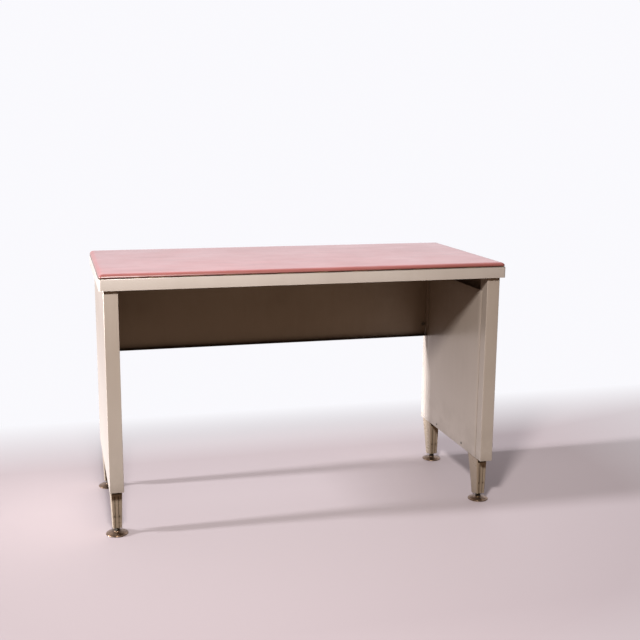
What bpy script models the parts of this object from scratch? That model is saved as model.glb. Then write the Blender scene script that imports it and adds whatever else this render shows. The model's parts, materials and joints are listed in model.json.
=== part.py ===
"""Steel teacher's desk: a vinyl-covered top in a steel pan, two hollow end pedestals,
a rear modesty panel and four fluted legs on screw glides.

Units are metres. +X is the desk's right, +Y its back and +Z is up. The origin is on the
floor under the middle of the top.
"""

from math import cos, pi, sin

import bmesh
import bpy
from mathutils import Matrix, Vector

# Top
TOP_WIDTH = 1.200
TOP_DEPTH = 0.550
TOP_HEIGHT = 0.770
COVER_HEIGHT = 0.013
COVER_SKIN = 0.002
COVER_INSET = 0.001
COVER_ROLL_WIDTH = 0.018
COVER_ROLL_HEIGHT = 0.010
TOP_CORNER_RADIUS = 0.007
PAN_HEIGHT = 0.033
PAN_RETURN = 0.0105
SHEET = 0.0012
BEND_RADIUS = 0.0022

# Pedestals
PEDESTAL_WIDTH = 0.040
PEDESTAL_SIDE_SETBACK = 0.012
PEDESTAL_FRONT_SETBACK = 0.014
PEDESTAL_BACK_SETBACK = 0.022
PEDESTAL_FLOOR_CLEARANCE = 0.142
SKIN_RETURN = 0.038
SKIN_LIP = 0.014
SEAM_GAP = 0.0025
WINDOW_HEIGHT = 0.078
END_PLATE_FLANGE = 0.022
BOTTOM_PLATE_RECESS = 0.003
PANEL_SCREW_INSET = 0.112
PANEL_SCREW_RISE = 0.0135

# Rear modesty panel
MODESTY_SETBACK = 0.016
MODESTY_DROP = 0.310
MODESTY_LIP = 0.022
MODESTY_TOP_FLANGE = 0.016
BRACKET_SHEET = 0.003
BRACKET_WIDTH = 0.024
BRACKET_HEIGHT = 0.276
MODESTY_BOLT_INSET = 0.0085
MODESTY_BOLT_RISE = 0.040

# Stiffeners under the pan
STIFFENER_SPACING = 0.180
STIFFENER_DEPTH = 0.022
STIFFENER_CROWN = 0.034
STIFFENER_FLANGE = 0.015
STIFFENER_END_GAP = 0.003

# Legs
LEG_FRONT_SETBACK = 0.030
LEG_BACK_SETBACK = 0.011
LEG_SIDE_CLEARANCE = 0.0018
LEG_TOP_DEPTH = 0.072
LEG_END_WIDTH = 0.026
LEG_END_DEPTH = 0.040
LEG_END_HEIGHT = 0.024
LEG_END_RAKE = 0.010
LEG_SHEET = 0.0015
LEG_CORNER_RADIUS = 0.0035
RIB_HALF_WIDTH = 0.0038
FLUTE_OFFSET = 0.0051
FLUTE_EDGE_LAND = 0.0005
FLUTE_DEPTH = 0.0020
FLUTE_TOP_GAP = 0.018
FLUTE_RUN_OUT = 0.006
CRIMP_RISE = 0.034
CRIMP_DIMPLE = 0.0012
CRIMP_HALF_LENGTH = 0.0025
RIB_RECESS = 0.0010
MOUNT_PLATE_SHEET = 0.003
MOUNT_BOLT_FIRST = 0.020
MOUNT_BOLT_SPACING = 0.027

# Glides
GLIDE_RADIUS = 0.032
GLIDE_RIM = 0.0026
GLIDE_DOME_HEIGHT = 0.0075
GLIDE_HUB_RADIUS = 0.0095
GLIDE_HUB_HEIGHT = 0.0110
SOCKET_DEPTH = 0.0050
STEM_RADIUS = 0.0050
STEM_TOP = 0.064
STEM_HEX_FLATS = 0.014
STEM_HEX_BASE = 0.0125
STEM_HEX_HEIGHT = 0.0050
NUT_PLATE_RISE = 0.0045
NUT_PLATE_SHEET = 0.003
NUT_BOSS_RADIUS = 0.0085
NUT_BOSS_HEIGHT = 0.011
STEM_CLEARANCE = 0.0004

# Fasteners
SMALL_SCREW_RADIUS = 0.0020
SMALL_SCREW_HEAD_RADIUS = 0.0037
SMALL_SCREW_HEAD = 0.0018
BOLT_RADIUS = 0.0030
BOLT_HEAD_FLATS = 0.0115
BOLT_HEAD = 0.0042
TOP_SCREW_RADIUS = 0.0025
TOP_SCREW_HEAD_RADIUS = 0.0050
TOP_SCREW_HEAD = 0.0028
TOP_SCREW_BITE = 0.0070
TOP_SCREW_INSET = 0.075
THREAD_ROOM = 0.0004
TIP_LENGTH = 0.004
BOLT_TAIL = 0.006
HOLE_LENGTH = 0.012
EDGE_BREAK = 0.0006

FIT_GAP = 0.0003
BEND_STEPS = 3
CORNER_STEPS = 5
ROLL_STEPS = 5
SMALL_ROUND = 12
STEM_ROUND = 12
GLIDE_ROUND = 36
DOME_STEPS = 4

# Heights and places that follow from the sizes above
PAN_TOP = TOP_HEIGHT - COVER_HEIGHT
PAN_UNDERSIDE = PAN_TOP - SHEET
BODY_TOP = PAN_UNDERSIDE - FIT_GAP
PEDESTAL_OUTER = TOP_WIDTH / 2 - PEDESTAL_SIDE_SETBACK
PEDESTAL_INNER = PEDESTAL_OUTER - PEDESTAL_WIDTH
PEDESTAL_FRONT = -TOP_DEPTH / 2 + PEDESTAL_FRONT_SETBACK
PEDESTAL_BACK = TOP_DEPTH / 2 - PEDESTAL_BACK_SETBACK
PEDESTAL_MIDDLE = (PEDESTAL_OUTER + PEDESTAL_INNER) / 2
BOTTOM_PLATE_Z = PEDESTAL_FLOOR_CLEARANCE + BOTTOM_PLATE_RECESS
LEG_ASSEMBLY_TOP = BOTTOM_PLATE_Z - FIT_GAP
LEG_TOP = LEG_ASSEMBLY_TOP - MOUNT_PLATE_SHEET - FIT_GAP
LIP_FACE = PEDESTAL_INNER + SHEET + FIT_GAP
FLANGE_INNER = LIP_FACE + SHEET + FIT_GAP
FLANGE_OUTER = PEDESTAL_OUTER - SHEET - FIT_GAP
LEG_TOP_WIDTH = PEDESTAL_WIDTH - 2 * (SHEET + LEG_SIDE_CLEARANCE)
FLUTE_EDGE = LEG_END_WIDTH / 2 - LEG_CORNER_RADIUS - FLUTE_EDGE_LAND
MODESTY_FACE = PEDESTAL_BACK - MODESTY_SETBACK
MODESTY_BOTTOM = PAN_UNDERSIDE - MODESTY_DROP
MODESTY_HALF_WIDTH = PEDESTAL_INNER - FIT_GAP
GLIDE_INSET = LEG_END_DEPTH / 2
NUT_PLATE_Z = LEG_END_HEIGHT + NUT_PLATE_RISE

COLOURS = {
    "vinyl": ((0.62, 0.30, 0.29), 0.32, 0.0),
    "board": ((0.42, 0.28, 0.16), 0.80, 0.0),
    "enamel": ((0.60, 0.54, 0.43), 0.42, 0.0),
    "leg_enamel": ((0.42, 0.38, 0.29), 0.40, 0.0),
    "glide": ((0.48, 0.30, 0.17), 0.35, 1.0),
    "zinc": ((0.55, 0.55, 0.53), 0.38, 1.0),
}


def make_material(name):
    colour, roughness, metallic = COLOURS[name]
    material = bpy.data.materials.new(name)
    material.use_nodes = True
    shader = material.node_tree.nodes["Principled BSDF"]
    shader.inputs["Base Color"].default_value = (*colour, 1.0)
    shader.inputs["Roughness"].default_value = roughness
    shader.inputs["Metallic"].default_value = metallic
    return material


def add_object(name, mesh, finish, location=(0, 0, 0)):
    """Place a mesh in the scene under its own name, with its own material."""
    if not mesh.materials:
        mesh.materials.append(make_material(finish))
    piece = bpy.data.objects.new(name, mesh)
    piece.location = location
    bpy.context.scene.collection.objects.link(piece)
    return piece


def finish_mesh(name, bm, smooth_angle=None):
    bmesh.ops.remove_doubles(bm, verts=bm.verts, dist=1e-7)
    bmesh.ops.recalc_face_normals(bm, faces=bm.faces)
    mesh = bpy.data.meshes.new(name)
    bm.to_mesh(mesh)
    bm.free()
    if smooth_angle:
        mesh.shade_smooth()
        mesh.set_sharp_from_angle(angle=smooth_angle)
    return mesh


# Outlines


def offset_path(points, distance):
    """Move an open path sideways, to its left for a positive distance, with mitred corners."""
    points = [Vector(p) for p in points]
    normals = []
    for a, b in zip(points, points[1:]):
        along = (b - a).normalized()
        normals.append(Vector((-along.y, along.x)))
    moved = [points[0] + normals[0] * distance]
    for corner, n0, n1 in zip(points[1:-1], normals, normals[1:]):
        moved.append(corner + (n0 + n1) * (distance / (1 + n0.dot(n1))))
    moved.append(points[-1] + normals[-1] * distance)
    return moved


def round_path(points, radius, steps=BEND_STEPS):
    """Replace the corners of an open path by arcs; gives each point with its left normal."""
    result = []
    first = (points[1] - points[0]).normalized()
    result.append((points[0], Vector((-first.y, first.x))))
    for before, corner, after in zip(points, points[1:], points[2:]):
        arrive = (corner - before).normalized()
        leave = (after - corner).normalized()
        turn = arrive.angle_signed(leave)
        side = -1 if turn > 0 else 1
        reach = radius * abs(sin(turn / 2) / cos(turn / 2))
        start = corner - arrive * reach
        normal = Vector((-arrive.y, arrive.x))
        centre = start + normal * radius * side
        for i in range(steps + 1):
            spin = Matrix.Rotation(-turn * i / steps, 2)
            result.append((centre + spin @ (start - centre), spin @ normal))
    last = (points[-1] - points[-2]).normalized()
    result.append((points[-1], Vector((-last.y, last.x))))
    return result


def sheet_section(face_path, thickness, radius=BEND_RADIUS):
    """Closed outline of a folded sheet. The sheet lies to the left of the path of its face."""
    middle = offset_path(face_path, thickness / 2)
    route = round_path(middle, radius)
    left = [p + n * thickness / 2 for p, n in route]
    right = [p - n * thickness / 2 for p, n in route]
    return left + right[::-1]


def rounded_rectangle(width, depth, radius, z, steps=CORNER_STEPS):
    """Ring of points around a rectangle with round corners, at height z."""
    ring = []
    corners = ((1, 1, 0), (-1, 1, 1), (-1, -1, 2), (1, -1, 3))
    for sx, sy, quarter in corners:
        for i in range(steps + 1):
            angle = (quarter + i / steps) * pi / 2
            x = sx * (width / 2 - radius) + radius * cos(angle)
            y = sy * (depth / 2 - radius) + radius * sin(angle)
            ring.append(Vector((x, y, z)))
    return ring


def circle(radius, z, count, flats=0):
    """Ring of points on a circle, or on a hexagon measured across its flats."""
    ring = []
    for i in range(count):
        angle = 2 * pi * i / count
        reach = radius
        if flats:
            nearest_flat = (angle + pi / 6) % (pi / 3) - pi / 6
            reach = flats / 2 / cos(nearest_flat)
        ring.append(Vector((reach * cos(angle), reach * sin(angle), z)))
    return ring


# Solids


def prism(name, section, axis, start, end, smooth_angle=0.7):
    """Extrude a closed outline along X, Y or Z."""
    place = {
        "X": lambda a, b: (start, a, b),
        "Y": lambda a, b: (a, start, b),
        "Z": lambda a, b: (a, b, start),
    }[axis]
    shift = {"X": (1, 0, 0), "Y": (0, 1, 0), "Z": (0, 0, 1)}[axis]
    bm = bmesh.new()
    face = bm.faces.new([bm.verts.new(place(*p)) for p in section])
    grown = bmesh.ops.extrude_face_region(bm, geom=[face])
    moved = [g for g in grown["geom"] if isinstance(g, bmesh.types.BMVert)]
    bmesh.ops.translate(bm, verts=moved, vec=Vector(shift) * (end - start))
    return finish_mesh(name, bm, smooth_angle)


def loft(name, rings, smooth_angle=0.7):
    """Skin a run of rings that have the same number of points, with a cap at each end."""
    bm = bmesh.new()
    loops = [[bm.verts.new(p) for p in ring] for ring in rings]
    count = len(loops[0])
    for lower, upper in zip(loops, loops[1:]):
        for i in range(count):
            j = (i + 1) % count
            bm.faces.new((lower[i], lower[j], upper[j], upper[i]))
    bm.faces.new(loops[0][::-1])
    bm.faces.new(loops[-1])
    return finish_mesh(name, bm, smooth_angle)


def box(name, low, high, edge=0.0):
    """Plain block between two corners, with its edges broken by a small bevel."""
    bm = bmesh.new()
    bmesh.ops.create_cube(bm, size=1.0)
    size = Vector(high) - Vector(low)
    bmesh.ops.scale(bm, vec=size, verts=bm.verts)
    bmesh.ops.translate(bm, vec=Vector(low) + size / 2, verts=bm.verts)
    if edge:
        bmesh.ops.bevel(bm, geom=bm.edges, offset=edge, segments=1, affect="EDGES")
    return finish_mesh(name, bm)


def turned(name, stations, count, tilt=None):
    """Stack of circles or hexagons along Z, given as (height, radius, flats)."""
    mesh = loft(name, [circle(r, z, count, flats) for z, r, flats in stations])
    if tilt:
        mesh.transform(tilt)
    return mesh


def drill(piece, holes, count=SMALL_ROUND):
    """Cut round holes, each given as (centre, direction, radius, length)."""
    bm = bmesh.new()
    for centre, direction, radius, length in holes:
        turn = Vector((0, 0, 1)).rotation_difference(Vector(direction)).to_matrix().to_4x4()
        place = Matrix.Translation(centre) @ turn
        bmesh.ops.create_cone(
            bm, cap_ends=True, segments=count, radius1=radius, radius2=radius,
            depth=length, matrix=place)
    cutter = bpy.data.objects.new("cutter", finish_mesh("cutter", bm))
    cutter.matrix_world = piece.matrix_world
    cutter.hide_render = True
    cutter.display_type = "WIRE"
    bpy.context.scene.collection.objects.link(cutter)
    cut = piece.modifiers.new("holes", "BOOLEAN")
    cut.operation = "DIFFERENCE"
    cut.solver = "EXACT"
    cut.object = cutter
    bpy.context.view_layer.update()
    evaluated = piece.evaluated_get(bpy.context.evaluated_depsgraph_get())
    drilled = bpy.data.meshes.new_from_object(evaluated)
    piece.modifiers.clear()
    piece.data = drilled
    bpy.data.objects.remove(cutter)


# Top


def top_rings(inset, radius, low, high, roll_width, roll_height):
    """Rings of a slab with upright sides and a rolled upper edge."""
    rings = [(inset, low)]
    for i in range(ROLL_STEPS + 1):
        angle = pi / 2 * i / ROLL_STEPS
        step_in = roll_width * (1 - cos(angle))
        rings.append((inset + step_in, high - roll_height * (1 - sin(angle))))
    return [
        rounded_rectangle(TOP_WIDTH - 2 * s, TOP_DEPTH - 2 * s, max(radius, 0.001) + s * 0.5, z)
        for s, z in rings
    ]


def make_top():
    low = PAN_TOP + FIT_GAP
    outer = top_rings(COVER_INSET, TOP_CORNER_RADIUS, low, TOP_HEIGHT,
                      COVER_ROLL_WIDTH, COVER_ROLL_HEIGHT)
    inner = top_rings(COVER_INSET + COVER_SKIN, TOP_CORNER_RADIUS - COVER_SKIN / 2, low,
                      TOP_HEIGHT - COVER_SKIN, COVER_ROLL_WIDTH - COVER_SKIN,
                      COVER_ROLL_HEIGHT - COVER_SKIN)
    add_object("top_cover", loft("top_cover", inner[::-1] + outer), "vinyl")

    room = COVER_SKIN + FIT_GAP
    core = add_object("top_core", loft("top_core", top_rings(
        COVER_INSET + room, TOP_CORNER_RADIUS - room / 2, low, TOP_HEIGHT - room,
        COVER_ROLL_WIDTH - COVER_SKIN, COVER_ROLL_HEIGHT - COVER_SKIN)), "board")

    bottom = PAN_TOP - PAN_HEIGHT
    profile = [
        (SHEET, PAN_UNDERSIDE),
        (SHEET, bottom + SHEET),
        (PAN_RETURN, bottom + SHEET),
        (PAN_RETURN, bottom),
        (SHEET, bottom),
        (SHEET * 0.3, bottom + SHEET * 0.3),
        (0.0, bottom + SHEET),
        (0.0, PAN_TOP - BEND_RADIUS),
        (BEND_RADIUS * 0.3, PAN_TOP - BEND_RADIUS * 0.3),
        (BEND_RADIUS, PAN_TOP),
    ]
    rings = [
        rounded_rectangle(TOP_WIDTH - 2 * s, TOP_DEPTH - 2 * s,
                          max(TOP_CORNER_RADIUS - s, 0.0008), z)
        for s, z in profile
    ]
    pan = add_object("top_pan", loft("top_pan", rings, 0.9), "enamel")

    holes = []
    for x in (-PEDESTAL_MIDDLE, PEDESTAL_MIDDLE):
        for y in top_screw_places():
            radius = TOP_SCREW_RADIUS + THREAD_ROOM
            holes.append(((x, y, PAN_TOP), (0, 0, 1), radius, 2 * TOP_SCREW_BITE + 0.002))
    drill(pan, holes)
    drill(core, holes)


def top_screw_places():
    return (PEDESTAL_FRONT + TOP_SCREW_INSET, PEDESTAL_BACK - TOP_SCREW_INSET)


def make_stiffeners():
    """Two hat-section channels across the underside of the pan."""
    half = STIFFENER_CROWN / 2
    edge = half + STIFFENER_FLANGE
    reach = PEDESTAL_INNER - STIFFENER_END_GAP
    crown = BODY_TOP - STIFFENER_DEPTH
    for name, y in (("front", -STIFFENER_SPACING / 2), ("rear", STIFFENER_SPACING / 2)):
        path = [
            (y - edge, BODY_TOP - SHEET),
            (y - half, BODY_TOP - SHEET),
            (y - half, crown),
            (y + half, crown),
            (y + half, BODY_TOP - SHEET),
            (y + edge, BODY_TOP - SHEET),
        ]
        section = sheet_section(path, SHEET, BEND_RADIUS)
        mesh = prism(f"stiffener_{name}", section, "X", -reach, reach)
        add_object(f"top_stiffener_{name}", mesh, "enamel")


# Pedestals


def seam_places():
    front = PEDESTAL_FRONT + SKIN_RETURN
    back = PEDESTAL_BACK - SKIN_RETURN
    return front, back


def make_pedestal(side, label):
    """Outer wrapper, inner panel and the two channels that close a pedestal's ends."""
    front_seam, back_seam = seam_places()
    path = [
        (side * LIP_FACE, front_seam + SKIN_LIP),
        (side * LIP_FACE, front_seam),
        (side * PEDESTAL_INNER, front_seam - LIP_FACE + PEDESTAL_INNER),
        (side * PEDESTAL_INNER, PEDESTAL_FRONT),
        (side * PEDESTAL_OUTER, PEDESTAL_FRONT),
        (side * PEDESTAL_OUTER, PEDESTAL_BACK),
        (side * PEDESTAL_INNER, PEDESTAL_BACK),
        (side * PEDESTAL_INNER, back_seam + LIP_FACE - PEDESTAL_INNER),
        (side * LIP_FACE, back_seam),
        (side * LIP_FACE, back_seam - SKIN_LIP),
    ]
    section = pedestal_section(path, side)
    skin = prism(f"{label}_skin", section, "Z", PEDESTAL_FLOOR_CLEARANCE, BODY_TOP)
    add_object(f"{label}_pedestal_skin", skin, "enamel")

    panel = add_object(
        f"{label}_pedestal_inner_panel",
        box(f"{label}_panel", *ordered(
            (side * PEDESTAL_INNER, front_seam + SEAM_GAP, PEDESTAL_FLOOR_CLEARANCE),
            (side * (PEDESTAL_INNER + SHEET), back_seam - SEAM_GAP, BODY_TOP - WINDOW_HEIGHT))),
        "enamel")

    low = PEDESTAL_FRONT + SHEET + BEND_RADIUS
    high = PEDESTAL_BACK - SHEET - BEND_RADIUS
    top_plate = end_channel(f"{label}_top_plate", side, BODY_TOP, -1, low, high)
    top_plate = add_object(f"{label}_pedestal_top_plate", top_plate, "enamel")
    bottom_plate = end_channel(f"{label}_bottom_plate", side, BOTTOM_PLATE_Z, 1, low, high)
    bottom_plate = add_object(f"{label}_pedestal_bottom_plate", bottom_plate, "enamel")

    screws = panel_screw_places(side)
    reach = FLANGE_INNER - PEDESTAL_INNER + SHEET + 2 * BEND_RADIUS
    holes = [(p, (1, 0, 0), SMALL_SCREW_RADIUS + THREAD_ROOM, 2 * reach) for p in screws]
    drill(panel, holes)
    drill(bottom_plate, holes)
    bolt_holes = []
    for x, y, z in leg_bolt_places(side):
        hole = ((x, y, BOTTOM_PLATE_Z), (0, 0, 1), BOLT_RADIUS + THREAD_ROOM, HOLE_LENGTH)
        bolt_holes.append(hole)
    drill(bottom_plate, bolt_holes)
    top_holes = []
    for y in top_screw_places():
        hole = ((side * PEDESTAL_MIDDLE, y, BODY_TOP), (0, 0, 1),
                TOP_SCREW_RADIUS + THREAD_ROOM, HOLE_LENGTH)
        top_holes.append(hole)
    drill(top_plate, top_holes)


def pedestal_section(path, side):
    """Outline of the wrapper: the sheet lies inside the path on either side of the desk."""
    if side > 0:
        return sheet_section(path, SHEET)
    return sheet_section(path[::-1], SHEET)


def end_channel(name, side, z, up, low, high):
    """Channel that closes one end of a pedestal; up is 1 when its flanges stand up."""
    path = [
        (FLANGE_OUTER, z + up * END_PLATE_FLANGE),
        (FLANGE_OUTER, z),
        (FLANGE_INNER, z),
        (FLANGE_INNER, z + up * END_PLATE_FLANGE),
    ]
    if up > 0:
        path = path[::-1]
    section = sheet_section(path, SHEET)
    section = [(side * x, z) for x, z in section]
    return prism(name, section, "Y", low, high)


def ordered(a, b):
    """Low and high corners of the box between two opposite corners."""
    low = tuple(min(p, q) for p, q in zip(a, b))
    high = tuple(max(p, q) for p, q in zip(a, b))
    return low, high


def panel_screw_places(side):
    front_seam, back_seam = seam_places()
    z = PEDESTAL_FLOOR_CLEARANCE + PANEL_SCREW_RISE
    x = side * PEDESTAL_INNER
    return [(x, front_seam + PANEL_SCREW_INSET, z), (x, back_seam - PANEL_SCREW_INSET, z)]


# Modesty panel


def make_modesty_panel():
    """Back panel between the pedestals, with its lower edge folded forward."""
    face = MODESTY_FACE
    path = [
        (face - MODESTY_LIP, MODESTY_BOTTOM),
        (face + SHEET, MODESTY_BOTTOM),
        (face + SHEET, BODY_TOP),
        (face - MODESTY_TOP_FLANGE, BODY_TOP),
    ]
    section = sheet_section(path, SHEET)
    mesh = prism("modesty", section, "X", -MODESTY_HALF_WIDTH, MODESTY_HALF_WIDTH)
    panel = add_object("modesty_panel", mesh, "enamel")
    holes = [
        (p, (0, 1, 0), BOLT_RADIUS + THREAD_ROOM, 2 * (SHEET + BRACKET_SHEET) + 0.004)
        for p in modesty_bolt_places()
    ]
    drill(panel, holes)

    back = face + SHEET + FIT_GAP
    low = MODESTY_BOTTOM + MODESTY_BOLT_RISE - 0.014
    for side, label in ((-1, "left"), (1, "right")):
        outer = PEDESTAL_INNER - FIT_GAP
        path = [
            (outer - BRACKET_WIDTH, back),
            (outer, back),
            (outer, PEDESTAL_BACK - BEND_RADIUS),
        ]
        section = sheet_section(path, BRACKET_SHEET, BEND_RADIUS * 1.2)
        section = [(side * x, y) for x, y in section]
        mesh = prism(f"bracket_{label}", section, "Z", low, low + BRACKET_HEIGHT)
        bracket = add_object(f"modesty_bracket_{label}", mesh, "enamel")
        drill(bracket, holes)


def modesty_bolt_places():
    x = MODESTY_HALF_WIDTH - MODESTY_BOLT_INSET
    low = MODESTY_BOTTOM + MODESTY_BOLT_RISE
    high = low + BRACKET_HEIGHT - 0.028
    return [(sx * x, MODESTY_FACE, z) for sx in (-1, 1) for z in (low, high)]


# Legs


def leg_section(blend, z):
    """Outline of the channel at height z. blend is 0 at the leg's top and 1 at its raked end."""
    half = (LEG_TOP_WIDTH + (LEG_END_WIDTH - LEG_TOP_WIDTH) * blend) / 2
    depth = LEG_TOP_DEPTH + (LEG_END_DEPTH - LEG_TOP_DEPTH) * blend
    flute, rib = flute_shape(z)
    flute_points = [
        Vector((FLUTE_EDGE, 0)),
        Vector((FLUTE_OFFSET, flute)),
        Vector((RIB_HALF_WIDTH, rib)),
    ]
    right = [Vector((half, depth))] + corner_arc(half) + flute_points
    outline = right + [Vector((-p.x, p.y)) for p in right[::-1]]
    inner = inside_of(outline, LEG_SHEET)
    rake = LEG_END_RAKE / LEG_END_DEPTH if z == LEG_END_HEIGHT else 0.0
    return [Vector((p.x, p.y, z - p.y * rake)) for p in outline + inner[::-1]]


def corner_arc(half):
    """Rounded corner between a leg's side and its nose."""
    radius = LEG_CORNER_RADIUS
    points = []
    for i in range(BEND_STEPS + 1):
        angle = pi / 2 * i / BEND_STEPS
        points.append(Vector((half - radius + radius * cos(angle), radius - radius * sin(angle))))
    return points


def inside_of(outline, thickness):
    """The same path moved inwards by the sheet's thickness."""
    moved = []
    last = len(outline) - 1
    for i, p in enumerate(outline):
        before = outline[max(i - 1, 0)]
        after = outline[min(i + 1, last)]
        a = (p - before).normalized() if i else (after - p).normalized()
        b = (after - p).normalized() if i < last else a
        na = Vector((a.y, -a.x))
        nb = Vector((b.y, -b.x))
        moved.append(p + (na + nb) * (thickness / (1 + na.dot(nb))))
    return moved


def flute_shape(z):
    """Depth of the flutes and of the rib between them, which is recessed below the crimp."""
    start = LEG_TOP - FLUTE_TOP_GAP
    full = start - FLUTE_RUN_OUT
    crimp = LEG_END_HEIGHT + CRIMP_RISE
    if z >= start:
        return 0.0, 0.0
    if z > full:
        part = (start - z) / FLUTE_RUN_OUT
        return FLUTE_DEPTH * part, 0.0
    if abs(z - crimp) < CRIMP_HALF_LENGTH * 0.5:
        return FLUTE_DEPTH + CRIMP_DIMPLE, RIB_RECESS * 0.5
    if z < crimp:
        return FLUTE_DEPTH + RIB_RECESS * 0.5, RIB_RECESS
    return FLUTE_DEPTH, 0.0


def leg_stations():
    crimp = LEG_END_HEIGHT + CRIMP_RISE
    start = LEG_TOP - FLUTE_TOP_GAP
    return [
        LEG_END_HEIGHT,
        crimp - CRIMP_HALF_LENGTH,
        crimp,
        crimp + CRIMP_HALF_LENGTH,
        start - FLUTE_RUN_OUT,
        start - FLUTE_RUN_OUT / 2,
        start,
        LEG_TOP,
    ]


def make_leg_mesh():
    rings = []
    for z in leg_stations():
        blend = (LEG_TOP - z) / (LEG_TOP - LEG_END_HEIGHT)
        rings.append(leg_section(blend, z))
    return loft("leg", rings, 0.5)


def make_mount_plate():
    """Plate welded over the leg's upper end, with the two holes for its bolts."""
    half = LEG_TOP_WIDTH / 2
    low = (-half, 0.0, LEG_ASSEMBLY_TOP - MOUNT_PLATE_SHEET)
    high = (half, LEG_TOP_DEPTH, LEG_ASSEMBLY_TOP)
    plate = add_object("blank", box("mount_plate", low, high, EDGE_BREAK), "leg_enamel")
    drill(plate, [
        ((0, run, LEG_ASSEMBLY_TOP), (0, 0, 1), BOLT_RADIUS + THREAD_ROOM, HOLE_LENGTH)
        for run in mount_bolt_runs()
    ])
    mesh = plate.data
    bpy.data.objects.remove(plate)
    return mesh


def make_nut_plate():
    """Plate across the leg's end with the threaded boss that holds the glide's stem."""
    hole = STEM_RADIUS + STEM_CLEARANCE
    top = NUT_PLATE_Z + NUT_PLATE_SHEET
    boss = top + NUT_BOSS_HEIGHT
    reach_x = LEG_END_WIDTH / 2 - LEG_SHEET - FIT_GAP
    front = LEG_SHEET + FLUTE_DEPTH + CRIMP_DIMPLE + RIB_RECESS - GLIDE_INSET
    back = GLIDE_INSET - LEG_SHEET

    def plate_ring(z):
        ring = []
        for p in circle(1.0, z, STEM_ROUND):
            grow_y = back if p.y > 0 else -front
            scale = 1 / max(abs(p.x), abs(p.y))
            ring.append(Vector((p.x * scale * reach_x, p.y * scale * grow_y, z)))
        return ring

    rings = [
        circle(hole, boss, STEM_ROUND),
        circle(hole, NUT_PLATE_Z, STEM_ROUND),
        plate_ring(NUT_PLATE_Z),
        plate_ring(top),
        circle(NUT_BOSS_RADIUS, top, STEM_ROUND),
        circle(NUT_BOSS_RADIUS, boss, STEM_ROUND),
        circle(hole, boss, STEM_ROUND),
    ]
    return ring_body("nut_plate", rings)


def ring_body(name, rings):
    """Skin a closed run of rings around an open bore: the last ring repeats the first."""
    bm = bmesh.new()
    loops = [[bm.verts.new(p) for p in ring] for ring in rings[:-1]]
    loops.append(loops[0])
    count = len(loops[0])
    for lower, upper in zip(loops, loops[1:]):
        for i in range(count):
            j = (i + 1) % count
            bm.faces.new((lower[i], lower[j], upper[j], upper[i]))
    return finish_mesh(name, bm, 0.7)


# Glides


def make_glide_disc():
    """Domed foot with a socket in its hub for the stem."""
    socket = STEM_RADIUS + STEM_CLEARANCE
    floor = GLIDE_HUB_HEIGHT - SOCKET_DEPTH
    rise = GLIDE_DOME_HEIGHT - GLIDE_RIM
    span = GLIDE_RADIUS - GLIDE_HUB_RADIUS
    stations = [
        (floor, socket, 0),
        (GLIDE_HUB_HEIGHT, socket, 0),
        (GLIDE_HUB_HEIGHT, GLIDE_HUB_RADIUS - 0.001, 0),
        (GLIDE_HUB_HEIGHT - 0.001, GLIDE_HUB_RADIUS, 0),
    ]
    for i in range(DOME_STEPS + 1):
        part = i / DOME_STEPS
        height = GLIDE_RIM + rise * (1 - part) ** 1.2
        stations.append((height, GLIDE_HUB_RADIUS + span * part, 0))
    stations.append((GLIDE_RIM * 0.3, GLIDE_RADIUS, 0))
    stations.append((0.0, GLIDE_RADIUS - 0.001, 0))
    return turned("glide_disc", stations, GLIDE_ROUND)


def make_stem():
    """Threaded stem with a hexagon for a spanner just above the disc."""
    foot = GLIDE_HUB_HEIGHT - SOCKET_DEPTH + FIT_GAP
    hexagon = STEM_HEX_BASE + STEM_HEX_HEIGHT
    stations = [
        (foot, STEM_RADIUS - 0.0008, 0),
        (foot + 0.0008, STEM_RADIUS, 0),
        (STEM_HEX_BASE, STEM_RADIUS, 0),
        (STEM_HEX_BASE, 0, STEM_HEX_FLATS),
        (hexagon, 0, STEM_HEX_FLATS),
        (hexagon, STEM_RADIUS, 0),
        (STEM_TOP - 0.001, STEM_RADIUS, 0),
        (STEM_TOP, STEM_RADIUS - 0.001, 0),
    ]
    return turned("stem", stations, STEM_ROUND)


# Fasteners, built head down along +Z from the seat at height 0


def pan_head_screw(name, radius, head_radius, head, length, tilt=None):
    stations = [
        (-head, head_radius * 0.55, 0),
        (-head * 0.7, head_radius * 0.9, 0),
        (-head * 0.25, head_radius, 0),
        (0.0, head_radius, 0),
        (0.0, radius, 0),
        (length - TIP_LENGTH * 0.5, radius, 0),
        (length, radius * 0.4, 0),
    ]
    return turned(name, stations, SMALL_ROUND, tilt)


def hex_bolt(name, length, tilt=None):
    flats = BOLT_HEAD_FLATS
    stations = [
        (-BOLT_HEAD, flats * 0.46, 0),
        (-BOLT_HEAD + 0.0008, 0, flats),
        (0.0, 0, flats),
        (0.0, BOLT_RADIUS, 0),
        (length - 0.0006, BOLT_RADIUS, 0),
        (length, BOLT_RADIUS - 0.0006, 0),
    ]
    return turned(name, stations, SMALL_ROUND, tilt)


def leg_places():
    """Name and place of the nose of each leg. Every leg's open side faces the back."""
    front = PEDESTAL_FRONT + LEG_FRONT_SETBACK
    rear = PEDESTAL_BACK - LEG_BACK_SETBACK - LEG_TOP_DEPTH
    return [
        ("front_left", -PEDESTAL_MIDDLE, front),
        ("front_right", PEDESTAL_MIDDLE, front),
        ("rear_left", -PEDESTAL_MIDDLE, rear),
        ("rear_right", PEDESTAL_MIDDLE, rear),
    ]


def mount_bolt_runs():
    """Distances of a leg's two bolts behind its nose."""
    return MOUNT_BOLT_FIRST, MOUNT_BOLT_FIRST + MOUNT_BOLT_SPACING


def leg_bolt_places(side):
    places = []
    for _, x, y in leg_places():
        if x * side > 0:
            places += [(x, y + run, LEG_TOP) for run in mount_bolt_runs()]
    return places


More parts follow.
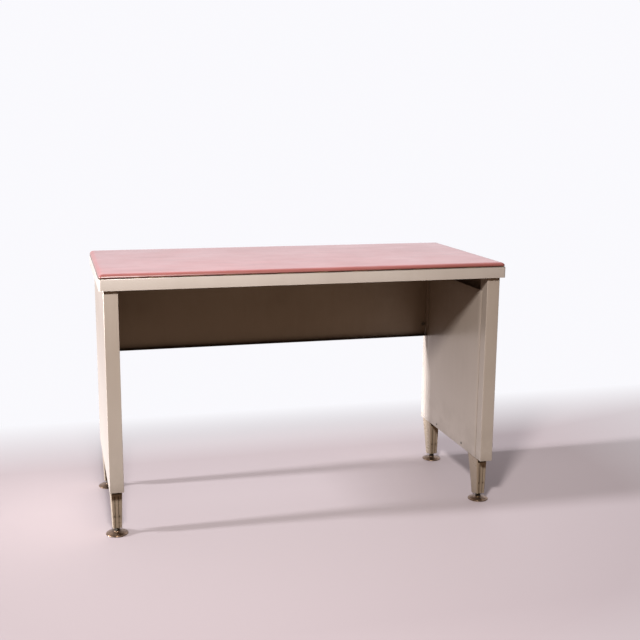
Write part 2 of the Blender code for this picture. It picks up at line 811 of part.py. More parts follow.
def make_legs():
    leg = make_leg_mesh()
    nut_plate = make_nut_plate()
    disc = make_glide_disc()
    stem = make_stem()
    bolt = hex_bolt("leg_bolt", BOTTOM_PLATE_Z + SHEET - LEG_TOP + BOLT_TAIL)
    plate = make_mount_plate()
    for name, x, y in leg_places():
        add_object(f"leg_{name}", leg, "leg_enamel", (x, y, 0))
        add_object(f"leg_mount_plate_{name}", plate, "leg_enamel", (x, y, 0))
        for i, run in enumerate(mount_bolt_runs()):
            add_object(f"leg_bolt_{name}_{i + 1}", bolt, "zinc", (x, y + run, LEG_TOP))
        axis = (x, y + GLIDE_INSET, 0)
        add_object(f"leg_nut_plate_{name}", nut_plate, "zinc", axis)
        add_object(f"glide_disc_{name}", disc, "glide", axis)
        add_object(f"glide_stem_{name}", stem, "zinc", axis)


def make_fasteners():
    quarter = Matrix.Rotation(pi / 2, 4, "Y")
    length = FLANGE_INNER + SHEET - PEDESTAL_INNER + TIP_LENGTH
    for side, label in ((-1, "left"), (1, "right")):
        tilt = quarter if side > 0 else Matrix.Rotation(-pi / 2, 4, "Y")
        screw = pan_head_screw("panel_screw", SMALL_SCREW_RADIUS, SMALL_SCREW_HEAD_RADIUS,
                               SMALL_SCREW_HEAD, length, tilt)
        for i, (x, y, z) in enumerate(panel_screw_places(side)):
            place = (x - side * FIT_GAP, y, z)
            add_object(f"{label}_panel_screw_{i + 1}", screw, "zinc", place)
        top_screw = pan_head_screw(
            "top_screw", TOP_SCREW_RADIUS, TOP_SCREW_HEAD_RADIUS, TOP_SCREW_HEAD,
            PAN_TOP + TOP_SCREW_BITE - BODY_TOP + SHEET)
        for i, y in enumerate(top_screw_places()):
            place = (side * PEDESTAL_MIDDLE, y, BODY_TOP - SHEET - FIT_GAP)
            add_object(f"{label}_top_screw_{i + 1}", top_screw, "zinc", place)

    bolt = hex_bolt("modesty_bolt", SHEET + BRACKET_SHEET + 0.003, Matrix.Rotation(-pi / 2, 4, "X"))
    for i, (x, y, z) in enumerate(modesty_bolt_places()):
        add_object(f"modesty_bolt_{i + 1}", bolt, "zinc", (x, y - FIT_GAP, z))


def main():
    for item in list(bpy.data.objects):
        bpy.data.objects.remove(item)
    make_top()
    make_stiffeners()
    make_pedestal(-1, "left")
    make_pedestal(1, "right")
    make_modesty_panel()
    make_legs()
    make_fasteners()


main()
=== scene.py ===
import json
import math

import bmesh
import bpy
from mathutils import Matrix, Vector, noise

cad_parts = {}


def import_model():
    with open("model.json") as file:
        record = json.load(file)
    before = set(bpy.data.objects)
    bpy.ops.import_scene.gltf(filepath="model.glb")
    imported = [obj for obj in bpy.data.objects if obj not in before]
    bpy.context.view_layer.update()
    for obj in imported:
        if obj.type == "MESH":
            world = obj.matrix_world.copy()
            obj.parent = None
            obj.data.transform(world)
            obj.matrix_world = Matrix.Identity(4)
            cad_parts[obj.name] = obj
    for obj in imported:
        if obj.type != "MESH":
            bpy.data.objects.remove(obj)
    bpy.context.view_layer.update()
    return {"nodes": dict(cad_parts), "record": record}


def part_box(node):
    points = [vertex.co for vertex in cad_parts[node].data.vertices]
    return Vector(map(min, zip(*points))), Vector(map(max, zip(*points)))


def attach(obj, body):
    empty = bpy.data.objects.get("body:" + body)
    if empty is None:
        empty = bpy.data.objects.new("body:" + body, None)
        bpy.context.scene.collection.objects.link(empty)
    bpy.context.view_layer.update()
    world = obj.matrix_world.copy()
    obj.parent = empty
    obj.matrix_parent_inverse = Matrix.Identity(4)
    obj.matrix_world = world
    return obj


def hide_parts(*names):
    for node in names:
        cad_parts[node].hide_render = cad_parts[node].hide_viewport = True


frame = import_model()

# Steel teacher's desk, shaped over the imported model. Metres, Z up, the sitter's side is -Y.
feet = ("front_left", "front_right", "rear_left", "rear_right")
sides = (("left", -1), ("right", 1))
fitGap = 0.0003
sheetThickness = 0.0012


# small helpers for working in edit mode

def deselectAll():
    for thing in bpy.context.selected_objects:
        thing.select_set(False)


def pick(piece):
    deselectAll()
    piece.select_set(True)
    bpy.context.view_layer.objects.active = piece


def editBegin(piece, mode="VERT"):
    pick(piece)
    bpy.ops.object.mode_set(mode="EDIT")
    bpy.ops.mesh.select_mode(type=mode)
    bpy.ops.mesh.select_all(action="DESELECT")
    return bmesh.from_edit_mesh(piece.data)


def editEnd():
    bpy.ops.object.mode_set(mode="OBJECT")


def chooseEdges(piece, test):
    mesh = bmesh.from_edit_mesh(piece.data)
    for edge in mesh.edges:
        edge.select_set(test(edge))
    bmesh.update_edit_mesh(piece.data)


def chooseFaces(piece, test):
    mesh = bmesh.from_edit_mesh(piece.data)
    for face in mesh.faces:
        face.select_set(test(face))
    bmesh.update_edit_mesh(piece.data)


def applyAll(piece):
    pick(piece)
    for modifier in list(piece.modifiers):
        bpy.ops.object.modifier_apply(modifier=modifier.name)


def settle(piece):
    pick(piece)
    bpy.ops.object.transform_apply(location=True, rotation=True, scale=True)


def cleanMesh(piece, mergeAt=0.00001):
    editBegin(piece)
    bpy.ops.mesh.select_all(action="SELECT")
    bpy.ops.mesh.remove_doubles(threshold=mergeAt)
    bpy.ops.mesh.normals_make_consistent(inside=False)
    editEnd()


def smoothBy(piece, angle=35):
    pick(piece)
    bpy.ops.object.shade_smooth_by_angle(angle=math.radians(angle))


def addModifier(piece, kind, **settings):
    modifier = piece.modifiers.new(kind.lower(), kind)
    for key, value in settings.items():
        setattr(modifier, key, value)
    return modifier


def roundEdges(piece, width, segments=3, angle=35):
    addModifier(piece, "BEVEL", width=width, segments=segments, limit_method="ANGLE",
                angle_limit=math.radians(angle), harden_normals=False)
    applyAll(piece)


def copyTo(piece, name, place):
    # a separate copy with its own mesh, its place written into the mesh
    twin = piece.copy()
    twin.data = piece.data.copy()
    twin.name = name
    twin.data.name = name
    bpy.context.scene.collection.objects.link(twin)
    twin.data.transform(place)
    return twin


def discard(piece):
    bpy.data.objects.remove(piece)


def addBox(name, place, size):
    deselectAll()
    bpy.ops.mesh.primitive_cube_add(size=1, location=place)
    piece = bpy.context.object
    piece.name = name
    piece.scale = size
    settle(piece)
    return piece


def drawOutline(name, profile, closed=False):
    # the outline (radius, height) as a chain of edges, left in edit mode
    deselectAll()
    bpy.ops.mesh.primitive_plane_add(size=0.01)
    piece = bpy.context.object
    piece.name = name
    editBegin(piece)
    bpy.ops.mesh.select_all(action="SELECT")
    bpy.ops.mesh.delete(type="VERT")
    mesh = bmesh.from_edit_mesh(piece.data)
    points = [mesh.verts.new((radius, 0, height)) for radius, height in profile]
    for a, b in zip(points, points[1:] + points[:1] if closed else points[1:]):
        mesh.edges.new((a, b))
    bmesh.update_edit_mesh(piece.data)
    return piece


def turnShape(name, profile, steps):
    # the outline is spun once round the Z axis
    piece = drawOutline(name, profile)
    bpy.ops.mesh.select_all(action="SELECT")
    bpy.ops.mesh.spin(steps=steps, angle=2 * math.pi, center=(0, 0, 0), axis=(0, 0, 1))
    editEnd()
    cleanMesh(piece, 0.00002)
    return piece


def joinPieces(first, *others):
    pick(first)
    for other in others:
        other.select_set(True)
    bpy.ops.object.join()
    return first


def fitPiece(piece, body, slot, material, *nodes):
    piece.data.materials.clear()
    piece.data.materials.append(material)
    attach(piece, body)
    if nodes:
        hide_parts(*nodes)
    return piece


def middle(node):
    low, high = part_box(node)
    return (low + high) / 2


# material building blocks

def newMaterial(name):
    material = bpy.data.materials.new(name)
    material.use_nodes = True
    tree = material.node_tree
    shader = tree.nodes["Principled BSDF"]
    return material, tree, shader


def addNode(tree, kind, **settings):
    node = tree.nodes.new(kind)
    for key, value in settings.items():
        setattr(node, key, value)
    return node


def objectPlace(tree, scale=(1, 1, 1), offset=(0, 0, 0)):
    coords = addNode(tree, "ShaderNodeTexCoord")
    mapping = addNode(tree, "ShaderNodeMapping")
    mapping.inputs["Location"].default_value = offset
    mapping.inputs["Scale"].default_value = scale
    tree.links.new(coords.outputs["Object"], mapping.inputs["Vector"])
    return mapping.outputs["Vector"]


def cloud(tree, vector, scale, detail=4.0, roughness=0.55):
    node = addNode(tree, "ShaderNodeTexNoise")
    node.inputs["Scale"].default_value = scale
    node.inputs["Detail"].default_value = detail
    node.inputs["Roughness"].default_value = roughness
    tree.links.new(vector, node.inputs["Vector"])
    return node.outputs["Fac"]


def remap(tree, value, low, high, toLow=0.0, toHigh=1.0):
    node = addNode(tree, "ShaderNodeMapRange")
    node.inputs["From Min"].default_value = low
    node.inputs["From Max"].default_value = high
    node.inputs["To Min"].default_value = toLow
    node.inputs["To Max"].default_value = toHigh
    tree.links.new(value, node.inputs["Value"])
    return node.outputs["Result"]


def calc(tree, operation, first, second):
    node = addNode(tree, "ShaderNodeMath", operation=operation)
    for socket, value in zip(node.inputs, (first, second)):
        if isinstance(value, (int, float)):
            socket.default_value = value
        else:
            tree.links.new(value, socket)
    return node.outputs["Value"]


def mixColour(tree, factor, first, second, blend="MIX"):
    node = addNode(tree, "ShaderNodeMix", data_type="RGBA", blend_type=blend)
    for socket, value in ((node.inputs[0], factor), (node.inputs[6], first), (node.inputs[7], second)):
        if isinstance(value, (int, float)):
            socket.default_value = value
        elif isinstance(value, tuple):
            socket.default_value = (*value, 1)
        else:
            tree.links.new(value, socket)
    return node.outputs[2]


def tint(tree, colour, mask, share, over):
    return mixColour(tree, calc(tree, "MULTIPLY", mask, share), colour, over)


def bumpFrom(tree, height, strength, distance, under=None):
    node = addNode(tree, "ShaderNodeBump")
    node.inputs["Strength"].default_value = strength
    node.inputs["Distance"].default_value = distance
    tree.links.new(height, node.inputs["Height"])
    if under:
        tree.links.new(under, node.inputs["Normal"])
    return node.outputs["Normal"]


def edgeMask(tree, radius, low=0.02, high=0.25):
    # how far a rounded-off normal leaves the true one: 1 on sharp edges, 0 on open sheet
    rounded = addNode(tree, "ShaderNodeBevel", samples=6)
    rounded.inputs["Radius"].default_value = radius
    geometry = addNode(tree, "ShaderNodeNewGeometry")
    dot = addNode(tree, "ShaderNodeVectorMath", operation="DOT_PRODUCT")
    tree.links.new(rounded.outputs["Normal"], dot.inputs[0])
    tree.links.new(geometry.outputs["Normal"], dot.inputs[1])
    away = calc(tree, "SUBTRACT", 1.0, dot.outputs["Value"])
    return remap(tree, away, low, high)


def heightMask(tree, low, high):
    # 1 at the floor end, fading to 0 higher up
    coords = addNode(tree, "ShaderNodeTexCoord")
    split = addNode(tree, "ShaderNodeSeparateXYZ")
    tree.links.new(coords.outputs["Object"], split.inputs["Vector"])
    return remap(tree, split.outputs["Z"], low, high, 1.0, 0.0)


def makeEnamel(name, paint, gloss, coat, grimeTop, grimeBottom, metallic):
    material, tree, shader = newMaterial(name)
    place = objectPlace(tree)
    streaky = objectPlace(tree, scale=(1, 1, 0.18))

    # old stoved paint: broad fading, faint vertical streaks of handling and fine specks
    broad = remap(tree, cloud(tree, place, 3.2, 5), 0.3, 0.7)
    colour = mixColour(tree, broad, paint["deep"], paint["pale"])
    streak = remap(tree, cloud(tree, streaky, 46, 6, 0.6), 0.45, 0.75)
    colour = tint(tree, colour, streak, 0.16, paint["streak"])
    speck = remap(tree, cloud(tree, place, 420, 2, 0.5), 0.70, 0.80)
    colour = tint(tree, colour, speck, 0.30, paint["speck"])

    # painted light: the paint is painted paler towards the floor, standing in for the bright floor and wall
    # reflected low down
    if "paintedLowLight" in paint:
        mask = heightMask(tree, *paint["paintedLowLightSpan"])
        colour = tint(tree, colour, mask, paint["paintedLowLight"], paint["paintedLowLightColour"])

    # grime gathers low down and in broken patches
    patch = remap(tree, cloud(tree, place, 14, 6, 0.65), 0.40, 0.68)
    grime = calc(tree, "MULTIPLY", heightMask(tree, grimeBottom, grimeTop), patch)
    colour = tint(tree, colour, grime, 0.32, paint["grime"])

    # painted shade: a per-point share darkens the legs' flute lines, dimples and shadowed tops, the modesty
    # panel's bottom lip and the top pan's upper edge
    pressed = addNode(tree, "ShaderNodeAttribute", attribute_name="paintedShading")
    packed = calc(tree, "MULTIPLY", pressed.outputs["Fac"], remap(tree, patch, 0, 1, 0.80, 1))
    colour = tint(tree, colour, packed, 0.94, paint["packed"])

    # chips along sharp edges: a dark primer ring round bare steel
    breakUp = cloud(tree, place, 95, 5, 0.7)
    edge = edgeMask(tree, 0.0007)
    chipField = calc(tree, "MULTIPLY", edge, remap(tree, breakUp, 0.47, 0.66))
    primer = remap(tree, chipField, 0.52, 0.64)
    bare = remap(tree, chipField, 0.78, 0.90)
    colour = mixColour(tree, primer, colour, wornThrough["primer"])
    colour = mixColour(tree, bare, colour, wornThrough["steel"])
    tree.links.new(colour, shader.inputs["Base Color"])
    tree.links.new(remap(tree, bare, 0, 1, metallic, 0.85), shader.inputs["Metallic"])

    # smudged gloss with long fine scuffs
    smudge = remap(tree, cloud(tree, place, 9, 5, 0.6), 0.3, 0.7, gloss - 0.02, gloss + 0.04)
    scuffs = objectPlace(tree, scale=(5, 5, 240), offset=(0.3, 0.1, 0))
    scuff = remap(tree, cloud(tree, scuffs, 3.0, 3, 0.5), 0.55, 0.80, 0.0, 0.04)
    rough = calc(tree, "ADD", smudge, scuff)
    rough = calc(tree, "ADD", rough, calc(tree, "MULTIPLY", grime, 0.18))
    tree.links.new(rough, shader.inputs["Roughness"])
    shader.inputs["Specular IOR Level"].default_value = 0.5
    shader.inputs["Coat Weight"].default_value = coat
    shader.inputs["Coat Roughness"].default_value = 0.18

    # orange peel, softened, and the step down into the chips
    peel = cloud(tree, place, 260, 2, 0.4)
    normal = bumpFrom(tree, peel, 0.22, 0.00012)
    normal = bumpFrom(tree, calc(tree, "SUBTRACT", 1.0, primer), 0.6, 0.0001, normal)
    tree.links.new(normal, shader.inputs["Normal"])
    return material


def makeVinyl():
    look = {
        "deep": (0.308, 0.082, 0.077),
        "pale": (0.405, 0.130, 0.126),
        "fleck": (0.50, 0.240, 0.240),
        "worn": (0.46, 0.240, 0.245),
        "grime": (0.16, 0.055, 0.042),
        "roll": (0.150, 0.040, 0.026), "rollSpan": (0.7650, 0.7697), "rollShare": 0.62,
        "hem": (0.030, 0.010, 0.007), "hemSpan": (0.7588, 0.7618), "hemShare": 0.90,
    }
    material, tree, shader = newMaterial("salmonVinyl")
    place = objectPlace(tree)
    along = objectPlace(tree, scale=(0.22, 1, 1))

    mottle = remap(tree, cloud(tree, along, 26, 6, 0.62), 0.32, 0.68)
    colour = mixColour(tree, mottle, look["deep"], look["pale"])
    fleck = remap(tree, cloud(tree, along, 210, 3, 0.6), 0.58, 0.70)
    colour = tint(tree, colour, fleck, 0.22, look["fleck"])
    handled = remap(tree, cloud(tree, place, 5, 6, 0.62), 0.50, 0.72)
    colour = tint(tree, colour, handled, 0.20, look["worn"])
    soil = remap(tree, cloud(tree, place, 60, 5, 0.7), 0.62, 0.74)
    colour = tint(tree, colour, soil, 0.20, look["grime"])
    # the rolled edge is painted darker than the top, and a painted shadow, almost black, runs where it meets
    # the metal
    for zone in ("roll", "hem"):
        mask = heightMask(tree, *look[zone + "Span"])
        colour = tint(tree, colour, mask, look[zone + "Share"], look[zone])
    tree.links.new(colour, shader.inputs["Base Color"])

    # rubbed satin, with fine long scratches across the writing surface
    rub = remap(tree, cloud(tree, place, 7, 5, 0.6), 0.3, 0.7, 0.30, 0.44)
    scratchPlace = objectPlace(tree, scale=(6, 260, 6), offset=(0.2, 0.4, 0))
    scratch = remap(tree, cloud(tree, scratchPlace, 2.2, 3, 0.5), 0.63, 0.72, 0.0, 0.16)
    tree.links.new(calc(tree, "ADD", rub, scratch), shader.inputs["Roughness"])
    shader.inputs["Specular IOR Level"].default_value = 0.55
    shader.inputs["Sheen Weight"].default_value = 0.08
    shader.inputs["Sheen Roughness"].default_value = 0.4
    shader.inputs["Coat Weight"].default_value = 0.34
    shader.inputs["Coat Roughness"].default_value = 0.28

    grain = cloud(tree, place, 520, 3, 0.6)
    normal = bumpFrom(tree, grain, 0.16, 0.00010)
    dents = cloud(tree, along, 16, 3, 0.5)
    normal = bumpFrom(tree, dents, 0.20, 0.0009, normal)
    tree.links.new(normal, shader.inputs["Normal"])
    return material


def makeBoard():
    material, tree, shader = newMaterial("chipBoard")
    place = objectPlace(tree)
    chips = addNode(tree, "ShaderNodeTexVoronoi", feature="F1")
    chips.inputs["Scale"].default_value = 320
    tree.links.new(place, chips.inputs["Vector"])
    dust = remap(tree, cloud(tree, place, 90, 6, 0.7), 0.3, 0.7)
    colour = mixColour(tree, dust, (0.30, 0.17, 0.08), (0.52, 0.36, 0.20))
    colour = mixColour(tree, 0.35, colour, chips.outputs["Color"], "SOFT_LIGHT")
    tree.links.new(colour, shader.inputs["Base Color"])
    shader.inputs["Roughness"].default_value = 0.85
    tree.links.new(bumpFrom(tree, chips.outputs["Distance"], 0.3, 0.0003), shader.inputs["Normal"])
    return material


def makeMetal(name, bright, dull, tarnishAndShade, roughLow, roughHigh, tarnishShare, unshadedAt, shadedAt):
    paintedDarkShare, tarnishDull = 0.85, 0.55
    material, tree, shader = newMaterial(name)
    place = objectPlace(tree)
    brushed = objectPlace(tree, scale=(1, 1, 9))
    base = remap(tree, cloud(tree, place, 120, 4, 0.6), 0.35, 0.65)
    colour = mixColour(tree, base, dull, bright)
    spots = remap(tree, cloud(tree, place, 70, 6, 0.7), 0.60 - tarnishShare * 0.25, 0.74)
    edge = edgeMask(tree, 0.0008)
    keep = calc(tree, "SUBTRACT", 1.0, calc(tree, "MULTIPLY", edge, 0.7))
    spots = calc(tree, "MULTIPLY", spots, keep)
    # painted shade round the glides' hubs and the foot of their stems, under the legs, in the tarnish colour
    # and joined to the tarnish spots
    paintedDarkness = calc(tree, "MULTIPLY", heightMask(tree, shadedAt, unshadedAt), paintedDarkShare)
    spots = calc(tree, "MAXIMUM", spots, paintedDarkness)
    colour = mixColour(tree, spots, colour, tarnishAndShade)
    tree.links.new(colour, shader.inputs["Base Color"])
    shine = calc(tree, "SUBTRACT", 1.0, calc(tree, "MULTIPLY", spots, tarnishDull))
    tree.links.new(shine, shader.inputs["Metallic"])
    rough = remap(tree, cloud(tree, brushed, 200, 4, 0.6), 0.3, 0.7, roughLow, roughHigh)
    rough = calc(tree, "ADD", rough, calc(tree, "MULTIPLY", spots, 0.25))
    tree.links.new(rough, shader.inputs["Roughness"])
    grain = cloud(tree, place, 380, 3, 0.6)
    tree.links.new(bumpFrom(tree, grain, 0.25, 0.00008), shader.inputs["Normal"])
    return material


# each paint's packed colour is the colour its painted shade darkens to
bandPaint = {
    "deep": (0.470, 0.402, 0.355), "pale": (0.535, 0.466, 0.422), "streak": (0.58, 0.518, 0.480),
    "speck": (0.30, 0.240, 0.160), "grime": (0.20, 0.155, 0.095), "packed": (0.055, 0.036, 0.022),
}
creamPaint = {
    "deep": (0.412, 0.338, 0.282), "pale": (0.484, 0.406, 0.350), "streak": (0.546, 0.474, 0.425),
    "speck": (0.24, 0.185, 0.120), "grime": (0.17, 0.125, 0.080), "packed": (0.010, 0.006, 0.004),
    "paintedLowLightColour": (0.76, 0.670, 0.615), "paintedLowLight": 0.66, "paintedLowLightSpan": (0.14, 0.58),
}
olivePaint = {
    "deep": (0.340, 0.258, 0.185), "pale": (0.500, 0.396, 0.310), "streak": (0.58, 0.480, 0.390),
    "speck": (0.14, 0.105, 0.060), "grime": (0.10, 0.070, 0.040), "packed": (0.030, 0.018, 0.008),
}
wornThrough = {"primer": (0.110, 0.070, 0.045), "steel": (0.42, 0.40, 0.37)}

bandEnamel = makeEnamel("bandEnamel", bandPaint, gloss=0.34, coat=0.15, grimeTop=0.30, grimeBottom=0.10,
                        metallic=0.15)
creamEnamel = makeEnamel("creamEnamel", creamPaint, gloss=0.30, coat=0.50, grimeTop=0.30, grimeBottom=0.10,
                         metallic=0.22)
oliveEnamel = makeEnamel("oliveEnamel", olivePaint, gloss=0.25, coat=0.15, grimeTop=0.12, grimeBottom=0.01,
                         metallic=0.30)
salmonVinyl = makeVinyl()
chipBoard = makeBoard()
# the glides' hubs and stems are painted dark between the two given heights, as shade under the legs
darkBrass = makeMetal("darkBrass", (0.42, 0.280, 0.190), (0.22, 0.140, 0.090), (0.036, 0.022, 0.014),
                      0.24, 0.42, 0.6, unshadedAt=0.0078, shadedAt=0.0108)
zincPlate = makeMetal("zincPlate", (0.30, 0.29, 0.27), (0.17, 0.16, 0.145), (0.050, 0.038, 0.026),
                      0.28, 0.46, 0.35, unshadedAt=0.060, shadedAt=0.035)
print("materials ready")


# folded sheet: a strip is extruded from bend to bend, then bent, thickened and pressed
# a little out of true

def drawStrip(name, route, axis, start, end):
    # the strip's first edge runs along the axis; each new bend is an extrude of that edge
    def world(point, run):
        a, b = point
        return {"X": Vector((run, a, b)), "Y": Vector((a, run, b)), "Z": Vector((a, b, run))}[axis]

    deselectAll()
    bpy.ops.mesh.primitive_plane_add(size=1)
    piece = bpy.context.object
    piece.name = name
    piece.data.name = name
    editBegin(piece)
    mesh = bmesh.from_edit_mesh(piece.data)
    mesh.verts.ensure_lookup_table()
    corners = [world(point, run) for point in route[:2] for run in (start, end)]
    for vert in mesh.verts:
        index = (0 if vert.co.y < 0 else 2) + (0 if vert.co.x < 0 else 1)
        vert.co = corners[index]
        vert.select_set(index > 1)
    mesh.select_flush_mode()
    bmesh.update_edit_mesh(piece.data)
    for before, after in zip(route[1:], route[2:]):
        step = world(after, start) - world(before, start)
        bpy.ops.mesh.select_mode(type="EDGE")
        bpy.ops.mesh.extrude_region_move(TRANSFORM_OT_translate={"value": step})
    editEnd()
    return piece


def insideRoute(route, distance):
    # the same route moved sideways to the sheet's middle, corners mitred
    points = [Vector(p) for p in route]
    normals = []
    for a, b in zip(points, points[1:]):
        run = (b - a).normalized()
        normals.append(Vector((-run.y, run.x)))
    moved = [points[0] + normals[0] * distance]
    for corner, n0, n1 in zip(points[1:-1], normals, normals[1:]):
        moved.append(corner + (n0 + n1) * (distance / (1 + n0.dot(n1))))
    moved.append(points[-1] + normals[-1] * distance)
    return [tuple(p) for p in moved]


def warpSheet(piece, depth, size, seed, within):
    # thin sheet never lies quite flat: a slow ripple that dies away towards the edges of its box
    low, high = within
    for vert in piece.data.vertices:
        swell = 1.0
        for i in range(3):
            room = min(vert.co[i] - low[i], high[i] - vert.co[i])
            if high[i] - low[i] > 0.1:
                swell *= min(max(room / 0.05, 0.0), 1.0)
        offset = noise.noise(vert.co / size + Vector((seed, seed * 0.7, 0))) * depth * swell
        vert.co += vert.normal * offset


def foldSheet(name, route, axis, start, end, bend=0.0024, thickness=sheetThickness, ripple=0.0,
              within=None, seed=1.0, edge=0.00025, side=1):
    piece = drawStrip(name, insideRoute(route, side * thickness / 2), axis, start, end)
    editBegin(piece, "EDGE")
    along = {"X": 0, "Y": 1, "Z": 2}[axis]

    def isFold(e):
        run = e.verts[1].co - e.verts[0].co
        return len(e.link_faces) == 2 and abs(run[along]) > 0.5 * run.length

    chooseEdges(piece, isFold)
    bpy.ops.mesh.bevel(offset=bend, offset_type="OFFSET", segments=6, profile=0.5, clamp_overlap=True)
    editEnd()
    if ripple:
        editBegin(piece, "FACE")
        chooseFaces(piece, lambda f: f.calc_area() > 0.004)
        bpy.ops.mesh.subdivide(number_cuts=20)
        editEnd()
        warpSheet(piece, ripple, 0.16, seed, within)
    addModifier(piece, "SOLIDIFY", thickness=thickness, offset=0.0, use_even_offset=True)
    applyAll(piece)
    cleanMesh(piece)
    if edge:
        roundEdges(piece, edge, 2, 50)
    smoothBy(piece, 40)
    return piece


def fitCream(piece, node):
    return fitPiece(piece, "root", "cream_enamel", creamEnamel, node)


def markPaintedShade(piece, lightHeight, shadeHeight):
    # the share of painted shade runs from 0 at the lit height to 1 at the fully shaded one
    paintedShading = piece.data.attributes.new("paintedShading", "FLOAT", "POINT")
    for vert in piece.data.vertices:
        paintedShading.data[vert.index].value = min(max((vert.co.z - lightHeight) / (shadeHeight - lightHeight), 0.0), 1.0)


# the covered top

def makeTopCover():
    cover = {"rollIn": 0.0165, "rollDrop": 0.0104, "corner": 0.0080, "innerCorner": 0.0006, "steps": 12,
             "skin": 0.002, "hemLift": 0.0006, "waveRise": 0.0012, "waveLength": 0.052, "curl": 0.0011,
             "crown": 0.0007, "crownInset": 0.012, "crownFade": 0.09, "cutsAlong": 150, "cutsAcross": 68}
    low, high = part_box("top_cover")
    size = high - low
    centre = (low + high) / 2
    piece = addBox("topCover", centre, size)
    editBegin(piece, "EDGE")
    chooseEdges(piece, lambda e: abs(e.verts[0].co.z - e.verts[1].co.z) > 0.005)
    bpy.ops.mesh.bevel(offset=cover["corner"], segments=8, profile=0.5)
    chooseFaces(piece, lambda f: f.normal.z > 0.9)
    bpy.ops.transform.translate(value=(0, 0, -cover["rollDrop"]))

    # the rolled edge: the flat is extruded in steps up a quarter round, its corner arcs tightening
    before, round0 = 0.0, cover["corner"]
    for i in range(1, cover["steps"] + 1):
        angle = math.pi / 2 * i / cover["steps"]
        inset = cover["rollIn"] * (1 - math.cos(angle))
        height = high.z - cover["rollDrop"] * (1 - math.sin(angle))
        round1 = max(cover["corner"] - inset, cover["innerCorner"])
        bpy.ops.mesh.extrude_region_move(TRANSFORM_OT_translate={"value": (0, 0, 0)})
        mesh = bmesh.from_edit_mesh(piece.data)
        for vert in mesh.verts:
            if not vert.select:
                continue
            for axis in (0, 1):
                sign = 1 if vert.co[axis] > centre[axis] else -1
                hub0 = size[axis] / 2 - before - round0
                hub1 = size[axis] / 2 - inset - round1
                lean = (abs(vert.co[axis] - centre[axis]) - hub0) / round0
                vert.co[axis] = centre[axis] + sign * (hub1 + round1 * lean)
            vert.co.z = height
        bmesh.update_edit_mesh(piece.data)
        before, round0 = inset, round1
    chooseFaces(piece, lambda f: f.normal.z < -0.9)
    bpy.ops.mesh.delete(type="FACE")
    for count, axis in ((cover["cutsAlong"], 0), (cover["cutsAcross"], 1)):
        for i in range(1, count):
            place = Vector(centre)
            place[axis] = low[axis] + size[axis] * i / count
            normal = Vector((0, 0, 0))
            normal[axis] = 1
            bpy.ops.mesh.select_all(action="SELECT")
            bpy.ops.mesh.bisect(plane_co=place, plane_no=normal, threshold=0.00002)
    editEnd()

    # the stretched sheet: its lower edge lifts here and there, and the flat is barely crowned
    for vert in piece.data.vertices:
        x, y, z = vert.co
        rise = min(max((z - low.z) / size.z, 0), 1)
        wave = noise.noise(Vector((x, y * 1.7, 0)) / cover["waveLength"])
        wave += 0.5 * noise.noise(Vector((x, y * 1.7, 4)) / (cover["waveLength"] * 0.45))
        lifted = min(max(0.0, 0.35 + wave), 1.0)
        inset = min(x - low.x, high.x - x, y - low.y, high.y - y)
        if rise < 0.05:
            for axis in (0, 1):
                side = 1 if vert.co[axis] > centre[axis] else -1
                inward = size[axis] / 2 - abs(vert.co[axis] - centre[axis])
                edge = max(0.0, 1 - inward / cover["corner"])
                vert.co[axis] -= side * cover["curl"] * edge * (0.75 + 0.25 * lifted)
            vert.co.z += cover["hemLift"] + cover["waveRise"] * lifted
        if inset > cover["crownInset"]:
            inwards = min((inset - cover["crownInset"]) / cover["crownFade"], 1)
            vert.co.z -= cover["crown"] * (0.45 + 0.35 * wave) * (1 - inwards * 0.75)
    addModifier(piece, "SOLIDIFY", thickness=cover["skin"], offset=-1.0)
    applyAll(piece)
    cleanMesh(piece)
    smoothBy(piece, 50)
    fitPiece(piece, "root", "vinyl", salmonVinyl, "top_cover")
    print("top cover made:", len(piece.data.vertices), "points")


